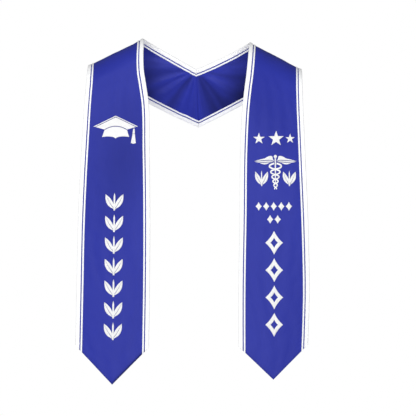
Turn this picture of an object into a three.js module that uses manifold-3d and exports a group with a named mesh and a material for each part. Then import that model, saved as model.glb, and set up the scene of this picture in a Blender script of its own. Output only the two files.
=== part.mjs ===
// A graduation stole in the form that it has when it is worn: two satin bands joined in a V at the
// centre back, laid over the shoulders and hanging down the front to pointed ends. A band is a collar,
// from the seam to just below the shoulder, and a front panel. It has a white binding round both long
// edges and a white stripe just inside it, on both faces, with a thin line of the satin between. White
// appliqués lie on the front panels.
//
// Millimetres, +Z up. The wearer faces -Y, and "left" is the -X side, as seen from the front.
// The origin is the nape: the top of the centre back seam.

import * as THREE from 'three';
import { mergeVertices } from 'three/addons/utils/BufferGeometryUtils.js';
import { TessellateModifier } from 'three/addons/modifiers/TessellateModifier.js';
import Module from 'manifold-3d';

const wasm = await Module();
wasm.setup();

// Driving dimensions of the drape
const neckHalfWidth = 95.5; // nape to a neck point, sideways
const neckRise = 50; // neck points above the nape
const shoulderRun = 98; // neck point to shoulder corner, sideways
const shoulderFall = 50; // and downwards
const shoulderBend = 55; // radius of the cloth over the shoulder
const napeToShoulder = 58; // nape to the top of that bend, forwards
const backHeight = 105; // length of the centre back seam
const backLean = 45; // foot of the seam behind the nape
const seamShift = 4.5; // foot of the seam to the right of the nape
const neckSag = 2; // sag of the collar's neck edge between the nape and a shoulder
const collarSag = 5; // and of its outer edge
const panelDrop = 549; // neck point down to the hem corners
const pointDrop = 68; // hem corners down to the tip
const hemTilt = 3.4; // outer hem corners above the inner ones
const hemWidth = 128.5; // width of a panel at the hem corners
const chestSlope = 0.32; // forward lean of the cloth where it leaves the shoulder
const chestReach = 300; // height over which that lean straightens out
const chestWrap = 14; // outer edges behind the inner ones, below the chest
const foldHeight = 3.2; // highest of the folds that fan out from the nape
const foldReach = 150; // distance from the nape at which they have died out
const swellHeight = 3; // highest of the soft swells of the front panels

// Cloth and trimming
const clothThickness = 1.8;
const tapeThickness = 1;
const bindingWidth = 7.3;
const lineWidth = 1.9; // satin left showing between binding and stripe
const stripeWidth = 3;
const pieceGap = 0.3; // between pieces that lie on each other
const seamGap = 0.3; // between the two bands at the centre back, and between collar and panel

// Appliqués: their own sizes, and how far below the nape their middles are
const appliqueThickness = 1;
const capWidth = 80.6;
const capLevel = 106;
const sprayWidth = 32;
const sprayHeight = 32;
const sprayPitch = 38.8;
const sprayCount = 7;
const spraysLevel = 241;
const starLevel = 128;
const starRadius = 14.5;
const staffHeight = 62;
const staffLevel = 188;
const wingSpan = 77;
const sideSprayHeight = 28;
const sideSprayOut = 25;
const sideSprayDrop = 11; // their middles below the staff's
const lozengeWidth = 32;
const lozengeHeight = 43;
const lozengePitch = 49.1;
const lozengeCount = 4;
const lozengesLevel = 315;
const smallLozengeHeight = 16;
const smallLozengePitch = 13.6;
const smallRowLevel = 249.5;
const smallRowPitch = 23.4;

// How each side hangs: shares of the driving dimensions above
const sides = {
  left: {
    sign: -1,
    neckShare: 0.99,
    riseShare: 1.07,
    runShare: 1.03,
    dropShare: 1.014,
    pointShare: 1.008,
    hemShare: 1.03,
    neckSagShare: 0,
    collarSagShare: 1.3,
  },
  right: {
    sign: 1,
    neckShare: 1.008,
    riseShare: 0.93,
    runShare: 0.97,
    dropShare: 0.998,
    pointShare: 0.902,
    hemShare: 0.97,
    neckSagShare: 1,
    collarSagShare: 0.65,
  },
};

// The long edges from the shoulder down. fall is a share of the drop; inner is how far the inner edge
// has moved towards the middle, and outer how far the outer edge has moved away from it, as shares
// of the hem width.
const edges = {
  left: [
    { fall: 0, inner: 0, outer: 0 },
    { fall: 0.1, inner: 0.004, outer: 0.03 },
    { fall: 0.15, inner: 0.036, outer: 0.044 },
    { fall: 0.21, inner: 0.071, outer: 0.058 },
    { fall: 0.35, inner: 0.083, outer: 0.09 },
    { fall: 0.55, inner: 0.092, outer: 0.124 },
    { fall: 0.8, inner: 0.088, outer: 0.145 },
    { fall: 1, inner: 0.075, outer: 0.161 },
  ],
  right: [
    { fall: 0, inner: 0, outer: 0 },
    { fall: 0.1, inner: 0.042, outer: 0.01 },
    { fall: 0.15, inner: 0.071, outer: 0.015 },
    { fall: 0.21, inner: 0.1, outer: 0.026 },
    { fall: 0.35, inner: 0.131, outer: 0.05 },
    { fall: 0.55, inner: 0.141, outer: 0.083 },
    { fall: 0.8, inner: 0.157, outer: 0.104 },
    { fall: 1, inner: 0.157, outer: 0.082 },
  ],
};

// Folds that fan out from the nape over the back. angle is measured from straight down, outwards,
// and spread is the half width, both in degrees; height is a share of foldHeight.
const backFolds = {
  left: [
    { angle: 0, spread: 7, height: 0.45 },
    { angle: 24, spread: 8, height: 0.9 },
    { angle: 54, spread: 6, height: 1 },
    { angle: 71, spread: 5, height: 0.7 },
    { angle: 90, spread: 7, height: 0.45 },
  ],
  right: [
    { angle: 0, spread: 7, height: 0.45 },
    { angle: 56, spread: 12, height: 1 },
    { angle: 88, spread: 8, height: 0.4 },
  ],
};

// Soft swells of the front panels. fall and length are shares of the drop, across and breadth shares
// of the panel's width, and height is a share of swellHeight.
const swells = {
  left: [
    { fall: 0.16, length: 0.09, across: 0.75, breadth: 0.5, height: 1 },
    { fall: 0.5, length: 0.2, across: 0.1, breadth: 0.4, height: 0.7 },
    { fall: 0.85, length: 0.16, across: 0.8, breadth: 0.45, height: 0.8 },
  ],
  right: [
    { fall: 0.2, length: 0.09, across: 0.25, breadth: 0.5, height: 0.8 },
    { fall: 0.55, length: 0.2, across: 0.85, breadth: 0.4, height: 0.8 },
    { fall: 0.9, length: 0.15, across: 0.3, breadth: 0.45, height: 0.7 },
  ],
};

// Number of steps along a band: seam to bend, over the back and the front of the bend, and down the front
const steps = { back: 9, bend: 5, front: 14 };
const frontStepGrowth = 1.5; // the steps down the front get longer towards the hem
const panelColumns = 10;

const lerp = THREE.MathUtils.lerp;
const smooth = (x, from, to) => THREE.MathUtils.smoothstep(x, Math.min(from, to), Math.max(from, to));

// One band as a surface. A place on it is (u, w): u runs from the centre back seam at -2 over the foot
// of the bend at -1, the top of the shoulder at 0 and the front foot of the bend at 1 to the hem at 2,
// and w from the neck edge at 0 to the outer edge at 1. Inside the class x is measured outwards.
class Band {
  constructor(name) {
    const side = sides[name];
    this.name = name;
    this.sign = side.sign;
    this.neck = { out: neckHalfWidth * side.neckShare, up: neckRise * side.riseShare };
    this.run = shoulderRun * side.runShare;
    this.hemCorner = this.neck.up - panelDrop * side.dropShare;
    this.point = pointDrop * side.pointShare;
    this.hem = hemWidth * side.hemShare;
    this.neckSag = neckSag * side.neckSagShare;
    this.collarSag = collarSag * side.collarSagShare;
    const rows = edges[name];
    const falls = rows.map((row) => row.fall);
    const shifts = rows.flatMap((row) => [row.inner, row.outer]);
    this.edgeCurve = new THREE.CubicInterpolant(falls, shifts, 2);
  }

  crest(w) {
    return { x: this.neck.out + this.run * w, z: this.neck.up - shoulderFall * w };
  }

  seam(w) {
    return { x: this.sign * seamShift * w + seamGap / 2, y: backLean * w, z: -backHeight * w };
  }

  hemLevel(w) {
    return this.hemCorner + hemTilt * w - this.point * (1 - Math.abs(2 * w - 1));
  }

  // Distance of the two long edges from the centre, at a share of the drop
  edgesAt(fall) {
    const [inner, outer] = this.edgeCurve.evaluate(THREE.MathUtils.clamp(fall, 0, 1));
    return {
      inner: this.neck.out - inner * this.hem,
      outer: this.neck.out + this.run + outer * this.hem,
    };
  }

  // Over the shoulder and down a straight leg that leaves the bend at an angle to the vertical:
  // the drop below the crest, and the reach away from it.
  bendAndLeg(travel, lean, length, legReach) {
    const foot = shoulderBend * (1 - Math.sin(lean));
    if (travel <= 1) {
      const angle = travel * (Math.PI / 2 - lean);
      return { drop: shoulderBend * (1 - Math.cos(angle)), reach: shoulderBend * Math.sin(angle) };
    }
    const drop = lerp(foot, length, travel - 1);
    return { drop, reach: shoulderBend * Math.cos(lean) + legReach(drop - foot) };
  }

  back(travel, w) {
    const from = this.crest(w);
    const to = this.seam(w);
    const length = Math.hypot(to.x - from.x, to.z - from.z);
    // The leg is the line from the seam that touches the circle of the bend.
    const depth = napeToShoulder + to.y;
    const rest = length - shoulderBend;
    const lean = Math.acos(shoulderBend / Math.hypot(depth, rest)) - Math.atan2(rest, depth);
    const { drop, reach } = this.bendAndLeg(travel, lean, length, (d) => d * Math.tan(lean));
    const share = drop / length;
    const x = lerp(from.x, to.x, share);
    const sag = lerp(this.neckSag, this.collarSag, w) * 4 * share * (1 - share);
    const z = lerp(from.z, to.z, share) - sag;
    return new THREE.Vector3(x, reach - napeToShoulder - this.foldAt(x, z, w), z);
  }

  // Height, towards the front, of the folds that fan out from the nape
  foldAt(x, z, w) {
    const seamX = this.sign * seamShift * THREE.MathUtils.clamp(-z / backHeight, 0, 1);
    const angle = THREE.MathUtils.radToDeg(Math.atan2(x - seamX, -z));
    const away = Math.hypot(x, z);
    const fade = smooth(away, 0, foldReach * 0.3) * (1 - smooth(away, foldReach * 0.6, foldReach));
    const clearOfTrim = smooth(w, 0.1, 0.3) * (1 - smooth(w, 0.7, 0.9));
    const folds = backFolds[this.name].map((f) => f.height * Math.exp(-(((angle - f.angle) / f.spread) ** 2)));
    return foldHeight * fade * clearOfTrim * folds.reduce((sum, h) => sum + h, 0);
  }

  front(travel, w) {
    const from = this.crest(w);
    const length = from.z - this.hemLevel(w);
    const straighten = (d) => 1 - (1 - Math.min(d / chestReach, 1)) ** 3;
    const lean = Math.atan(chestSlope);
    const legReach = (d) => (chestSlope * chestReach * straighten(d)) / 3;
    const { drop, reach } = this.bendAndLeg(travel, lean, length, legReach);
    const fall = drop / length;
    const edge = this.edgesAt(fall);
    const wrap = chestWrap * w * w * smooth(drop, 0, chestReach);
    const y = wrap - napeToShoulder - reach - this.swellAt(fall, w);
    return new THREE.Vector3(lerp(edge.inner, edge.outer, w), y, from.z - drop);
  }

  swellAt(fall, w) {
    const swell = (s) =>
      s.height * Math.exp(-(((fall - s.fall) / s.length) ** 2) - ((w - s.across) / s.breadth) ** 2);
    const fade = smooth(fall, 0, 0.12);
    return swellHeight * fade * swells[this.name].reduce((sum, s) => sum + swell(s), 0);
  }

  surface(u, w) {
    const p = u < 0 ? this.back(-u, w) : this.front(u, w);
    p.x *= this.sign;
    return p;
  }

  alongAt(u, w, step = 0.01) {
    const ahead = this.surface(Math.min(u + step, 2), w);
    return ahead.sub(this.surface(Math.max(u - step, -2), w)).normalize();
  }

  // Outward normal. At the centre back seam it stays in the plane where the two bands meet.
  normal(u, w, step = 0.01) {
    const across = this.surface(u, w + step).sub(this.surface(u, w - step));
    const n = this.alongAt(u, w).cross(across).multiplyScalar(this.sign);
    if (u === -2) n.x = 0;
    return n.normalize();
  }

  // Width between the long edges, square to them
  width(u) {
    const row = this.surface(u, 1).sub(this.surface(u, 0));
    return row.cross(this.alongAt(u, 0.5)).length();
  }

  place(u, w, lift) {
    return this.surface(u, w).addScaledVector(this.normal(u, w), lift);
  }

  // A point on the front panel, by its height and its distance from the middle as seen from the front
  onFront(across, level, lift) {
    let w = 0.5;
    let fall = 0;
    for (let pass = 0; pass < 4; pass++) {
      const top = this.crest(w).z;
      fall = (top - level) / (top - this.hemLevel(w));
      const edge = this.edgesAt(fall);
      w = 0.5 + (this.sign * across) / (edge.outer - edge.inner);
    }
    const length = this.crest(w).z - this.hemLevel(w);
    const foot = shoulderBend * (1 - Math.sin(Math.atan(chestSlope)));
    const u = 1 + (fall * length - foot) / (length - foot);
    return this.place(u, w, lift);
  }
}

const bands = { left: new Band('left'), right: new Band('right') };

const materials = {
  satin: new THREE.MeshStandardMaterial({ name: 'satin', color: 0x3a43a3, roughness: 0.42, metalness: 0 }),
  tape: new THREE.MeshStandardMaterial({ name: 'tape', color: 0xf6f6f4, roughness: 0.6, metalness: 0 }),
  applique: new THREE.MeshStandardMaterial({ name: 'applique', color: 0xfbfbf9, roughness: 0.7, metalness: 0 }),
};

const stole = new THREE.Group();
stole.name = 'graduation_stole';

function addMesh(name, geometry, material) {
  const mesh = new THREE.Mesh(geometry, material);
  mesh.name = name;
  stole.add(mesh);
}

// Rows of cloth from the seam to the front foot of the bend, and from there to the hem, as values of u
function collarRows() {
  const rows = [-2];
  for (let i = 1; i <= steps.back; i++) rows.push(-2 + i / steps.back);
  for (let i = 1; i <= steps.bend; i++) rows.push(-1 + i / steps.bend);
  for (let i = 1; i <= steps.bend; i++) rows.push(i / steps.bend);
  return rows;
}

function panelRows(start = 1) {
  const rows = [start];
  for (let i = 1; i <= steps.front; i++) rows.push(1 + (i / steps.front) ** frontStepGrowth);
  return rows;
}

const allRows = [...collarRows(), ...panelRows().slice(1)];

// A closed solid that runs along a band. Its section is two skins with as many points each. A point
// has a share of the width, an inset from there in millimetres, and a lift off the band's middle
// surface.
function sweep(band, skins, rows = allRows) {
  const ring = [...skins.top, ...[...skins.bottom].reverse()];
  const positions = rows.flatMap((u) => {
    const width = band.width(u);
    return ring.flatMap((s) => band.place(u, s.share + s.inset / width, s.lift).toArray());
  });
  const faces = [];
  const quad = (a, b, c, d) => faces.push(...(band.sign > 0 ? [a, b, c, a, c, d] : [a, c, b, a, d, c]));
  const n = ring.length;
  for (let i = 0; i < rows.length - 1; i++) {
    for (let j = 0; j < n; j++) {
      const k = (j + 1) % n;
      quad(i * n + j, (i + 1) * n + j, (i + 1) * n + k, i * n + k);
    }
  }
  const last = (rows.length - 1) * n;
  for (let j = 0; j < skins.top.length - 1; j++) {
    quad(j, j + 1, n - 2 - j, n - 1 - j);
    quad(last + n - 1 - j, last + n - 2 - j, last + j + 1, last + j);
  }
  const geometry = new THREE.BufferGeometry();
  geometry.setAttribute('position', new THREE.Float32BufferAttribute(positions, 3));
  geometry.setIndex(faces);
  geometry.computeVertexNormals();
  return geometry;
}

const faceLift = clothThickness / 2; // from the middle surface to a face of the cloth
const tapeLift = faceLift + pieceGap; // to the underside of a tape on that face
const trimWidth = bindingWidth + lineWidth + stripeWidth;
const edgeSides = [
  { name: 'neck', share: 0, inwards: 1 },
  { name: 'outer', share: 1, inwards: -1 },
];

function cloth(band, rows) {
  const inset = tapeThickness + pieceGap;
  const columns = [{ share: 0, inset }];
  for (let i = 0; i <= panelColumns; i++) {
    const share = i / panelColumns;
    columns.push({ share, inset: lerp(trimWidth, -trimWidth, share) });
  }
  columns.push({ share: 1, inset: -inset });
  const skin = (lift) => columns.map((c) => ({ ...c, lift }));
  return sweep(band, { top: skin(faceLift), bottom: skin(-faceLift) }, rows);
}

// The binding is folded round the edge of the cloth, so its section is a U.
function binding(band, edge) {
  const skin = (lift, back) =>
    [
      [bindingWidth, lift],
      [back, lift],
      [back, -lift],
      [bindingWidth, -lift],
    ].map(([inset, height]) => ({ share: edge.share, inset: edge.inwards * inset, lift: height }));
  const outside = skin(tapeLift + tapeThickness, 0);
  const inside = skin(tapeLift, tapeThickness);
  return sweep(band, edge.inwards > 0 ? { top: inside, bottom: outside } : { top: outside, bottom: inside });
}

function stripe(band, edge, face) {
  const near = edge.inwards * (bindingWidth + lineWidth);
  const far = edge.inwards * trimWidth;
  const skin = (lift) =>
    [Math.min(near, far), Math.max(near, far)].map((inset) => ({ share: edge.share, inset, lift }));
  const low = face > 0 ? tapeLift : -tapeLift - tapeThickness;
  return sweep(band, { top: skin(low + tapeThickness), bottom: skin(low) });
}

for (const band of Object.values(bands)) {
  const panelLength = band.surface(1, 0.5).distanceTo(band.surface(2, 0.5));
  addMesh(`${band.name}_collar`, cloth(band, collarRows()), materials.satin);
  addMesh(`${band.name}_panel`, cloth(band, panelRows(1 + seamGap / panelLength)), materials.satin);
  for (const edge of edgeSides) {
    addMesh(`${band.name}_${edge.name}_binding`, binding(band, edge), materials.tape);
    addMesh(`${band.name}_${edge.name}_stripe_outside`, stripe(band, edge, 1), materials.tape);
    addMesh(`${band.name}_${edge.name}_stripe_inside`, stripe(band, edge, -1), materials.tape);
  }
}

// Appliqués are cut flat, as shapes with x to the right and y up, and then laid on a front panel.

function solidOf(geometry) {
  const bare = geometry.clone();
  bare.deleteAttribute('normal');
  bare.deleteAttribute('uv');
  const merged = mergeVertices(bare, 1e-3);
  const mesh = new wasm.Mesh({
    numProp: 3,
    vertProperties: merged.attributes.position.array,
    triVerts: new Uint32Array(merged.index.array),
  });
  return new wasm.Manifold(mesh);
}

// The shapes as one flat piece: overlapping ones are joined, and those in cuts are taken out.
function cutOut(shapes, cuts = []) {
  const slab = (shape, extra) => {
    const options = { depth: appliqueThickness + 2 * extra, bevelEnabled: false, curveSegments: 4 };
    return solidOf(new THREE.ExtrudeGeometry(shape, options).translate(0, 0, -extra));
  };
  const joined = shapes.map((shape) => slab(shape, 0)).reduce((all, one) => all.add(one));
  const cut = cuts.map((shape) => slab(shape, 1)).reduce((left, one) => left.subtract(one), joined);
  const { vertProperties, triVerts } = cut.getMesh();
  const geometry = new THREE.BufferGeometry();
  geometry.setAttribute('position', new THREE.BufferAttribute(vertProperties, 3));
  geometry.setIndex(new THREE.BufferAttribute(triVerts, 1));
  return geometry;
}

// Lays a flat piece on the outside of a front panel, its own origin at across and below the nape.
function layOn(band, geometry, across, below) {
  const longestEdge = 18;
  const fine = mergeVertices(new TessellateModifier(longestEdge, 8).modify(geometry), 1e-3);
  const at = fine.attributes.position;
  for (let i = 0; i < at.count; i++) {
    const lift = tapeLift + at.getZ(i);
    const p = band.onFront(across + at.getX(i), at.getY(i) - below, lift);
    at.setXYZ(i, p.x, p.y, p.z);
  }
  fine.computeVertexNormals();
  return fine;
}

function applique(name, band, shapes, across, below, cuts) {
  addMesh(name, layOn(band, cutOut(shapes, cuts), across, below), materials.applique);
}

const outline = (points) => new THREE.Shape(points.map(([x, y]) => new THREE.Vector2(x, y)));

// Square academic cap with its tassel, drawn in shares of its width
function capShapes() {
  const size = capWidth;
  const groove = 0.6 / size; // half the line between board and crown
  const corner = { x: 0.255, y: -0.076 };
  const archTop = 0.085;
  const board = new THREE.Shape();
  board.moveTo(-0.5 * size, 0);
  board.lineTo(-corner.x * size, (corner.y + groove) * size);
  board.quadraticCurveTo(0, (archTop + groove) * size, corner.x * size, (corner.y + groove) * size);
  board.lineTo(0.5 * size, 0);
  board.lineTo(0, 0.24 * size);

  const crown = new THREE.Shape();
  crown.moveTo(-0.305 * size, -0.235 * size);
  crown.quadraticCurveTo(-0.14 * size, -0.21 * size, -0.045 * size, -0.24 * size);
  crown.lineTo(0, -0.268 * size);
  crown.lineTo(0.045 * size, -0.24 * size);
  crown.quadraticCurveTo(0.14 * size, -0.21 * size, 0.305 * size, -0.235 * size);
  crown.lineTo(corner.x * size, (corner.y - groove) * size);
  crown.quadraticCurveTo(0, (archTop - groove) * size, -corner.x * size, (corner.y - groove) * size);

  const tassel = new THREE.Shape();
  tassel.moveTo(0.39 * size, -0.055 * size);
  tassel.lineTo(0.345 * size, -0.37 * size);
  tassel.quadraticCurveTo(0.403 * size, -0.4 * size, 0.461 * size, -0.37 * size);
  tassel.lineTo(0.425 * size, -0.05 * size);
  return { board, crown, tassel };
}

function starShape(radius) {
  const innerShare = 0.4;
  const points = [];
  for (let i = 0; i < 10; i++) {
    const r = i % 2 ? radius * innerShare : radius;
    const angle = Math.PI / 2 + (i * Math.PI) / 5;
    points.push([r * Math.cos(angle), r * Math.sin(angle)]);
  }
  return outline(points);
}

// A leaf from its foot to its tip, with its belly to the given side
function leafShape(foot, tip, belly) {
  const [dx, dy] = [tip[0] - foot[0], tip[1] - foot[1]];
  const bow = (amount) => [foot[0] + dx * 0.45 - dy * amount, foot[1] + dy * 0.45 + dx * amount];
  const leaf = new THREE.Shape();
  leaf.moveTo(...foot);
  leaf.quadraticCurveTo(...bow(belly), ...tip);
  leaf.quadraticCurveTo(...bow(-belly * 0.6), ...foot);
  return leaf;
}

// A pair of leaves on a short stem
function sprayShapes(width, height) {
  const stem = width * 0.05;
  const foot = -height * 0.42;
  return [
    leafShape([0, foot], [-width / 2, height * 0.42], 0.42),
    leafShape([0, foot], [width / 2, height * 0.42], -0.42),
    outline([
      [-stem, -height / 2],
      [stem, -height / 2],
      [stem, height * 0.3],
      [0, height / 2],
      [-stem, height * 0.3],
    ]),
  ];
}

function lozengeShape(width, height) {
  const waist = 0.19; // how far the sides are drawn in
  const [x, y] = [width / 2, height / 2];
  const lozenge = new THREE.Shape();
  lozenge.moveTo(0, -y);
  lozenge.quadraticCurveTo(x * waist * 2, -y * waist * 2, x, 0);
  lozenge.quadraticCurveTo(x * waist * 2, y * waist * 2, 0, y);
  lozenge.quadraticCurveTo(-x * waist * 2, y * waist * 2, -x, 0);
  lozenge.quadraticCurveTo(-x * waist * 2, -y * waist * 2, 0, -y);
  return lozenge;
}

// A ribbon along a line of points, from one width to another
function ribbonShape(points, startWidth, endWidth) {
  const last = points.length - 1;
  const sideOf = (i, sign) => {
    const [a, b] = [points[Math.max(i - 1, 0)], points[Math.min(i + 1, last)]];
    const [dx, dy] = [b[0] - a[0], b[1] - a[1]];
    const half = (sign * lerp(startWidth, endWidth, i / last)) / 2 / Math.hypot(dx, dy);
    return [points[i][0] - dy * half, points[i][1] + dx * half];
  };
  const there = points.map((_, i) => sideOf(i, -1));
  const back = points.map((_, i) => sideOf(i, 1)).reverse();
  return outline([...there, ...back]);
}

// Winged staff with two serpents round it, drawn in shares of its height and of its wings' span
function staffShapes() {
  const [h, s] = [staffHeight, wingSpan];
  const knob = new THREE.Shape().absarc(0, 0.45 * h, 0.048 * h, 0, 2 * Math.PI);
  const rod = outline([
    [-0.02 * h, 0.43 * h],
    [-0.016 * h, -0.3 * h],
    [0, -0.36 * h],
    [0.016 * h, -0.3 * h],
    [0.02 * h, 0.43 * h],
  ]);
  const wing = (sign) => {
    const w = new THREE.Shape();
    w.moveTo(sign * 0.005 * s, 0.27 * h);
    w.lineTo(sign * 0.005 * s, 0.31 * h);
    w.quadraticCurveTo(sign * 0.06 * s, 0.34 * h, sign * 0.068 * s, 0.45 * h);
    w.quadraticCurveTo(sign * 0.12 * s, 0.51 * h, sign * 0.25 * s, 0.395 * h);
    w.quadraticCurveTo(sign * 0.36 * s, 0.37 * h, sign * 0.5 * s, 0.315 * h);
    w.quadraticCurveTo(sign * 0.47 * s, 0.285 * h, sign * 0.37 * s, 0.27 * h);
    w.quadraticCurveTo(sign * 0.33 * s, 0.235 * h, sign * 0.26 * s, 0.22 * h);
    w.quadraticCurveTo(sign * 0.19 * s, 0.225 * h, sign * 0.14 * s, 0.28 * h);
    return w;
  };
  const serpent = (sign) => {
    const points = [];
    const parts = 36;
    for (let i = 0; i <= parts; i++) {
      const down = lerp(0.03, 1, i / parts);
      const phase = 2 * Math.PI * (1.85 * down + 0.93 * down ** 2);
      const swing = lerp(0.19, 0.025, down) * h;
      const across = 1.06 * Math.sin(phase) + 0.06 * Math.sin(3 * phase);
      points.push([sign * swing * across, lerp(0.261, -0.5, down) * h]);
    }
    return ribbonShape(points, 0.05 * h, 0.032 * h);
  };
  return [knob, rod, wing(-1), wing(1), serpent(-1), serpent(1)];
}

function addLeftAppliques() {
  const band = bands.left;
  const { board, crown, tassel } = capShapes();
  applique('cap_board', band, [board], 0, capLevel);
  applique('cap_crown', band, [crown], 0, capLevel);
  applique('cap_tassel', band, [tassel], 0, capLevel);
  for (let i = 0; i < sprayCount; i++) {
    applique(`leaf_spray_${i + 1}`, band, sprayShapes(sprayWidth, sprayHeight), 0, spraysLevel + i * sprayPitch);
  }
}

function addRightAppliques() {
  const band = bands.right;
  const stars = [
    { name: 'star_left', across: -1.77, size: 0.75 },
    { name: 'star_middle', across: 0.35, size: 1 },
    { name: 'star_right', across: 2.08, size: 0.62 },
  ];
  for (const { name, across, size } of stars) {
    applique(name, band, [starShape(starRadius * size)], across * starRadius, starLevel);
  }
  const staffAcross = 0.05 * wingSpan;
  applique('winged_staff', band, staffShapes(), staffAcross, staffLevel);
  for (const [name, sign] of [['left', -1], ['right', 1]]) {
    const across = staffAcross + sign * sideSprayOut;
    const shapes = sprayShapes(sideSprayHeight * 0.8, sideSprayHeight);
    applique(`side_spray_${name}`, band, shapes, across, staffLevel + sideSprayDrop);
  }
  const smallRows = [5, 2];
  smallRows.forEach((count, row) => {
    for (let i = 0; i < count; i++) {
      const across = (i - (count - 1) / 2) * smallLozengePitch;
      const shape = lozengeShape(smallLozengePitch * 0.85, smallLozengeHeight);
      const below = smallRowLevel + row * smallRowPitch;
      applique(`small_lozenge_${row + 1}_${i + 1}`, band, [shape], across, below);
    }
  });
  for (let i = 0; i < lozengeCount; i++) {
    const frame = lozengeShape(lozengeWidth, lozengeHeight);
    const hole = lozengeShape(lozengeWidth * 0.42, lozengeHeight * 0.42);
    applique(`lozenge_${i + 1}`, band, [frame], 0, lozengesLevel + i * lozengePitch, [hole]);
  }
}

addLeftAppliques();
addRightAppliques();

export default stole;
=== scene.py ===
from math import acos, atan, atan2, ceil, copysign, cos, degrees, exp
from math import floor, hypot, pi, radians, sin, sqrt, tan

import bmesh
import bpy
from mathutils import Matrix, Vector
from mathutils.noise import noise


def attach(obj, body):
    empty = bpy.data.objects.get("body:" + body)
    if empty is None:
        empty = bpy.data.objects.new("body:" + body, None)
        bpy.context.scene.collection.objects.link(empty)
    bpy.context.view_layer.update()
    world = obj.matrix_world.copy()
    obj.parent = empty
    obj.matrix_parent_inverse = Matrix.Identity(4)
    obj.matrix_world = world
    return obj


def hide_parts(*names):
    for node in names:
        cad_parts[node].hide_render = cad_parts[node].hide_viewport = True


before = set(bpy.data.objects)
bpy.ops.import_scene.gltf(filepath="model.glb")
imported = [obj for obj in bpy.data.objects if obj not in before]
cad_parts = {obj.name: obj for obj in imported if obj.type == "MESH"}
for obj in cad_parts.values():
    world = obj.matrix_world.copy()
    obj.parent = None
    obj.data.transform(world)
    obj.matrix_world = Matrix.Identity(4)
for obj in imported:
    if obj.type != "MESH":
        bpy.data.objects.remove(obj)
scene = bpy.context.scene
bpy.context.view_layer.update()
print("frame loaded with", len(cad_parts), "nodes")

mm = 0.001
turn = 2 * pi
mergeDistance = 0.005 * mm


def lerp(a, b, share):
    return a + (b - a) * share


def clamp(x, low=0.0, high=1.0):
    return min(max(x, low), high)


def smooth(x, start, end):
    t = clamp((x - start) / (end - start))
    return t * t * (3 - 2 * t)


def bell(x):
    return exp(-x * x)


def readAt(values, share):  # from an evenly spaced list, between its entries
    x = clamp(share) * (len(values) - 1)
    i = min(int(x), len(values) - 2)
    return lerp(values[i], values[i + 1], x - i)


def neighbours(ring):
    return zip(ring, ring[1:] + ring[:1])


def rounding(x):  # a quarter circle, from 0 to 1
    return sqrt(1 - (1 - x) ** 2)


# The drape, with the same sizes as the solids
drape = {
    "neckHalfWidth": 95.5 * mm,  # nape to a neck point, sideways
    "neckRise": 50 * mm,
    "shoulderRun": 98 * mm,
    "shoulderFall": 50 * mm,
    "shoulderBend": 55 * mm,  # radius of the cloth over the shoulder
    "napeToShoulder": 58 * mm,
    "backHeight": 105 * mm,
    "backLean": 45 * mm,
    "seamShift": 4.5 * mm,
    "neckSag": 2 * mm, "collarSag": 5 * mm,
    "panelDrop": 549 * mm,
    "pointDrop": 68 * mm,
    "hemTilt": 3.4 * mm,
    "hemWidth": 128.5 * mm,
    "chestSlope": 0.32, "chestReach": 300 * mm, "chestWrap": 14 * mm,
    "foldHeight": 3.2 * mm, "foldReach": 150 * mm,
    "swellHeight": 3 * mm,
}

# How each side hangs, in shares of these sizes. edges: fall, inner, outer. backFolds: angle,
# spread, height. swells: fall, length, across, breadth, height.
sides = {
    "left": {
        "sign": -1, "neck": 0.99, "rise": 1.07, "run": 1.03, "drop": 1.014, "point": 1.008, "hem": 1.03,
        "neckSag": 0, "collarSag": 1.3,
        "edges": [
            (0, 0, 0), (0.1, 0.004, 0.03), (0.15, 0.036, 0.044), (0.21, 0.071, 0.058),
            (0.35, 0.083, 0.09), (0.55, 0.092, 0.124), (0.8, 0.088, 0.145), (1, 0.075, 0.161),
        ],
        "backFolds": [(0, 7, 0.45), (24, 8, 0.9), (54, 6, 1), (71, 5, 0.7), (90, 7, 0.45)],
        "swells": [(0.16, 0.09, 0.75, 0.5, 1), (0.5, 0.2, 0.1, 0.4, 0.7), (0.85, 0.16, 0.8, 0.45, 0.8)],
    },
    "right": {
        "sign": 1, "neck": 1.008, "rise": 0.93, "run": 0.97, "drop": 0.998, "point": 0.902, "hem": 0.97,
        "neckSag": 1, "collarSag": 0.65,
        "edges": [
            (0, 0, 0), (0.1, 0.042, 0.01), (0.15, 0.071, 0.015), (0.21, 0.1, 0.026),
            (0.35, 0.131, 0.05), (0.55, 0.141, 0.083), (0.8, 0.157, 0.104), (1, 0.157, 0.082),
        ],
        "backFolds": [(0, 7, 0.45), (56, 12, 1), (88, 8, 0.4)],
        "swells": [(0.2, 0.09, 0.25, 0.5, 0.8), (0.55, 0.2, 0.85, 0.4, 0.8), (0.9, 0.15, 0.3, 0.45, 0.7)],
    },
}

# What the solids are too plain for: creases and ripples of the real satin
creases = {
    "fanHeight": 0.5 * mm,  # fine folds between the large ones at the back
    "fanRate": 14,  # waves in a turn around the nape
    "fanStart": (4 * mm, 30 * mm), "fanEnd": (60 * mm, 135 * mm),  # from the nape
    "rippleHeight": 0.55 * mm, "ripplePitch": 27 * mm,  # long soft ripples down the panels
    "puckerHeight": 0.28 * mm, "puckerPitch": 8.5 * mm, "puckerReach": 9 * mm,  # beside the tapes
    "buckleHeight": 0.9 * mm,  # where the cloth turns over the shoulder
    "crumpleHeight": 0.35 * mm, "crumpleSize": 16 * mm,
    "fieldEdge": (-2 * mm, 16 * mm),  # from the tapes: where creases grow to their full height
}

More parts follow.
